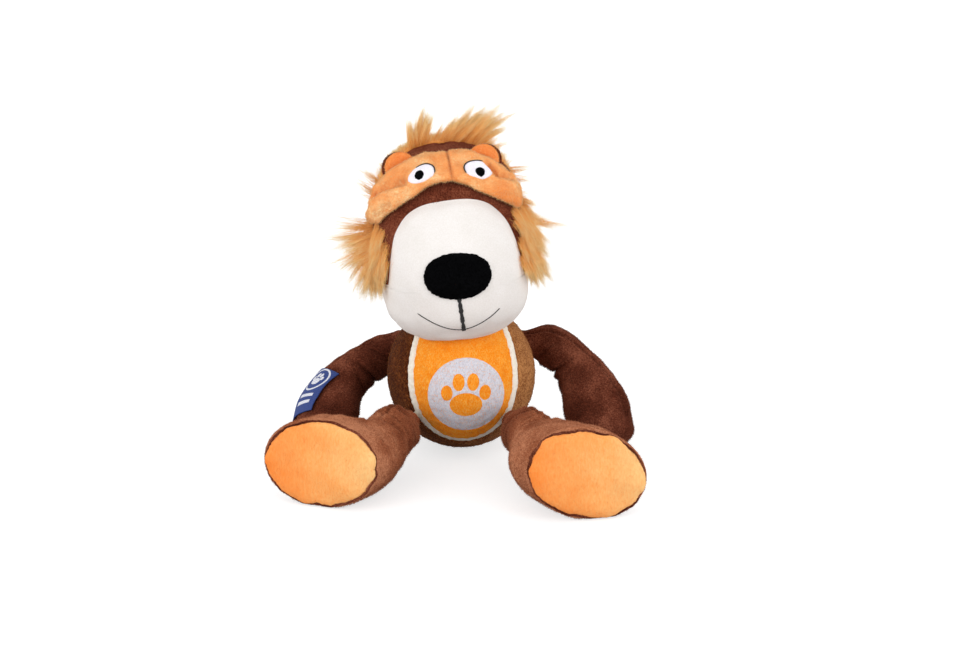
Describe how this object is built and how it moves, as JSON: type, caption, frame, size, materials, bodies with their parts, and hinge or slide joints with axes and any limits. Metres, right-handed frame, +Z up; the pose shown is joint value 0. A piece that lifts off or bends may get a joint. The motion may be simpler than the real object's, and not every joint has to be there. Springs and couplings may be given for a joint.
{
  "type": "plush lion dog toy",
  "caption": "Seated plush lion toy whose body is a felt tennis ball, with a stuffed head, arms and legs tied to it by short ropes.",
  "frame": {"origin": "middle of the flat spot under the ball, on the surface that the toy sits on", "axes": "+Z up, the face looks towards -Y, +X to the right in the front view"},
  "size_m": [0.1569, 0.1327, 0.151],
  "materials": {
    "rubber": "matte",
    "orange_felt": "fuzzy felt",
    "brown_felt": "fuzzy felt",
    "seam_rubber": "matte",
    "rope": "braided cotton",
    "brown_plush": "short plush",
    "orange_plush": "short plush",
    "white_plush": "short plush",
    "black_plush": "short plush",
    "fibre": "loose polyester fibre",
    "squeaker": "matte",
    "mane_fur": "long straight fur",
    "ribbon": "woven satin"
  },
  "bodies": {
    "ball": {"core_upper": "rubber", "core_lower": "rubber", "felt_orange": "orange_felt", "felt_brown": "brown_felt", "seam_strip": "seam_rubber", "arm_rope": "rope", "leg_rope": "rope", "neck_rope": "rope"},
    "neck": {"neck_knot": "rope"},
    "head": {"face_panel": "white_plush", "brow_panel": "brown_plush", "back_panel": "brown_plush", "seat_panel": "brown_plush", "head_stuffing": "fibre", "squeaker_bladder": "squeaker", "squeaker_reed": "squeaker", "nose": "black_plush", "mouth_stitch": "black_plush", "philtrum_stitch": "black_plush", "mask_lining": "brown_plush", "mask_front": "orange_plush", "eye_white_left": "white_plush", "eye_white_right": "white_plush", "pupil_left": "black_plush", "pupil_right": "black_plush", "ear_front_left": "orange_plush", "ear_back_left": "brown_plush", "ear_front_right": "orange_plush", "ear_back_right": "brown_plush", "mane_left": "mane_fur", "mane_top": "mane_fur", "mane_right": "mane_fur"},
    "shoulder_left": {"shoulder_knot_left": "rope"},
    "arm_left": {"arm_sleeve_left": "brown_plush", "arm_stuffing_left": "fibre", "side_tag": "ribbon"},
    "shoulder_right": {"shoulder_knot_right": "rope"},
    "arm_right": {"arm_sleeve_right": "brown_plush", "arm_stuffing_right": "fibre"},
    "hip_left": {"hip_knot_left": "rope"},
    "leg_left": {"leg_sleeve_left": "brown_plush", "leg_stuffing_left": "fibre", "sole_left": "orange_plush"},
    "hip_right": {"hip_knot_right": "rope"},
    "leg_right": {"leg_sleeve_right": "brown_plush", "leg_stuffing_right": "fibre", "sole_right": "orange_plush"}
  },
  "joints": [
    {"name": "neck_turn", "type": "hinge", "parent": "ball", "child": "neck", "pos_m": [-0.0028, 0, 0.06851], "axis": [-0.0767, 0, 0.9971], "range_deg": [-35, 35]},
    {"name": "neck_nod", "type": "hinge", "parent": "neck", "child": "head", "pos_m": [-0.0028, 0, 0.06851], "axis": [-0.9936, -0.0837, -0.0764], "range_deg": [0, 18]},
    {"name": "shoulder_swing_left", "type": "hinge", "parent": "ball", "child": "shoulder_left", "pos_m": [-0.02794, 0.02416, 0.03966], "axis": [-1, 0, 0], "range_deg": [-30, 30]},
    {"name": "shoulder_raise_left", "type": "hinge", "parent": "shoulder_left", "child": "arm_left", "pos_m": [-0.02794, 0.02416, 0.03966], "axis": [0, 1, 0], "range_deg": [-8, 45]},
    {"name": "shoulder_swing_right", "type": "hinge", "parent": "ball", "child": "shoulder_right", "pos_m": [0.02794, 0.02416, 0.03966], "axis": [-1, 0, 0], "range_deg": [-30, 30]},
    {"name": "shoulder_raise_right", "type": "hinge", "parent": "shoulder_right", "child": "arm_right", "pos_m": [0.02794, 0.02416, 0.03966], "axis": [0, -1, 0], "range_deg": [-8, 45]},
    {"name": "hip_lift_left", "type": "hinge", "parent": "ball", "child": "hip_left", "pos_m": [-0.02267, -0.02706, 0.01889], "axis": [-1, 0, 0], "range_deg": [-5, 40]},
    {"name": "hip_spread_left", "type": "hinge", "parent": "hip_left", "child": "leg_left", "pos_m": [-0.02267, -0.02706, 0.01889], "axis": [0, 0, -1], "range_deg": [-10, 25]},
    {"name": "hip_lift_right", "type": "hinge", "parent": "ball", "child": "hip_right", "pos_m": [0.02267, -0.02706, 0.01889], "axis": [-1, 0, 0], "range_deg": [-5, 40]},
    {"name": "hip_spread_right", "type": "hinge", "parent": "hip_right", "child": "leg_right", "pos_m": [0.02267, -0.02706, 0.01889], "axis": [0, 0, 1], "range_deg": [-10, 25]}
  ]
}
